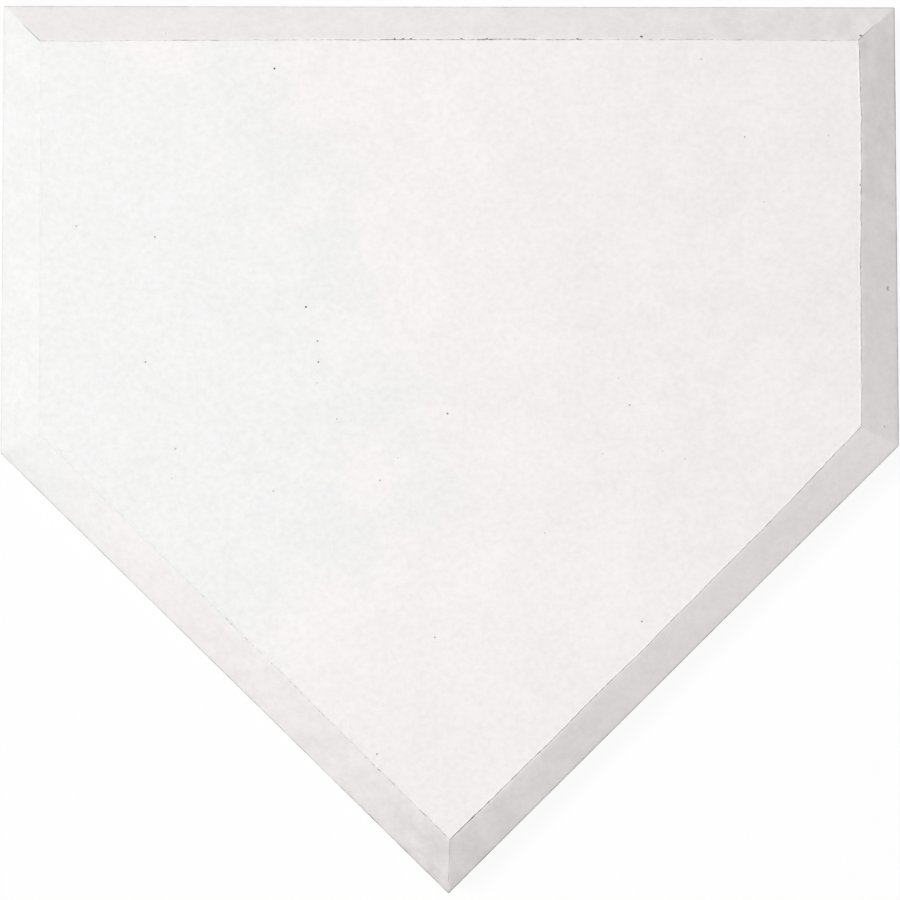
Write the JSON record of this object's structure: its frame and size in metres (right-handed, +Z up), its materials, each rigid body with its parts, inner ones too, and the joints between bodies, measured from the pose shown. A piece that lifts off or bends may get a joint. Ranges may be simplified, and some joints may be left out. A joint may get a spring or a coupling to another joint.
{
  "type": "baseball home plate",
  "caption": "Five-sided white rubber home plate with mitred bevels, filled with lumber that is nailed in through its skirt, for setting into the ground.",
  "frame": {"origin": "middle of the bounding box on the underside, where the plate sits in the ground", "axes": "+Z up out of the flat top, +Y towards the long front edge that faces the pitcher, the point at -Y, +X to the right as seen from above with the front edge at the top"},
  "size_m": [0.4318, 0.4318, 0.0575],
  "materials": {
    "white_rubber": "matte moulded white rubber with fine mottling, a trimmed mould line and small pinholes",
    "treated_pine": "planed softwood, pressure treated, with sawn ends",
    "galvanised_steel": "dull hot-dip zinc"
  },
  "bodies": {
    "root": {"rubber_cover": "white_rubber", "core_board_left": "treated_pine", "core_board_centre": "treated_pine", "core_board_right": "treated_pine", "nail_front_1": "galvanised_steel", "nail_front_2": "galvanised_steel", "nail_front_3": "galvanised_steel", "nail_front_4": "galvanised_steel", "nail_front_5": "galvanised_steel", "nail_front_6": "galvanised_steel", "nail_left_1": "galvanised_steel", "nail_left_2": "galvanised_steel", "nail_point_left_1": "galvanised_steel", "nail_point_left_2": "galvanised_steel", "nail_point_left_3": "galvanised_steel", "nail_point_right_1": "galvanised_steel", "nail_point_right_2": "galvanised_steel", "nail_point_right_3": "galvanised_steel", "nail_right_1": "galvanised_steel", "nail_right_2": "galvanised_steel"}
  },
  "joints": []
}
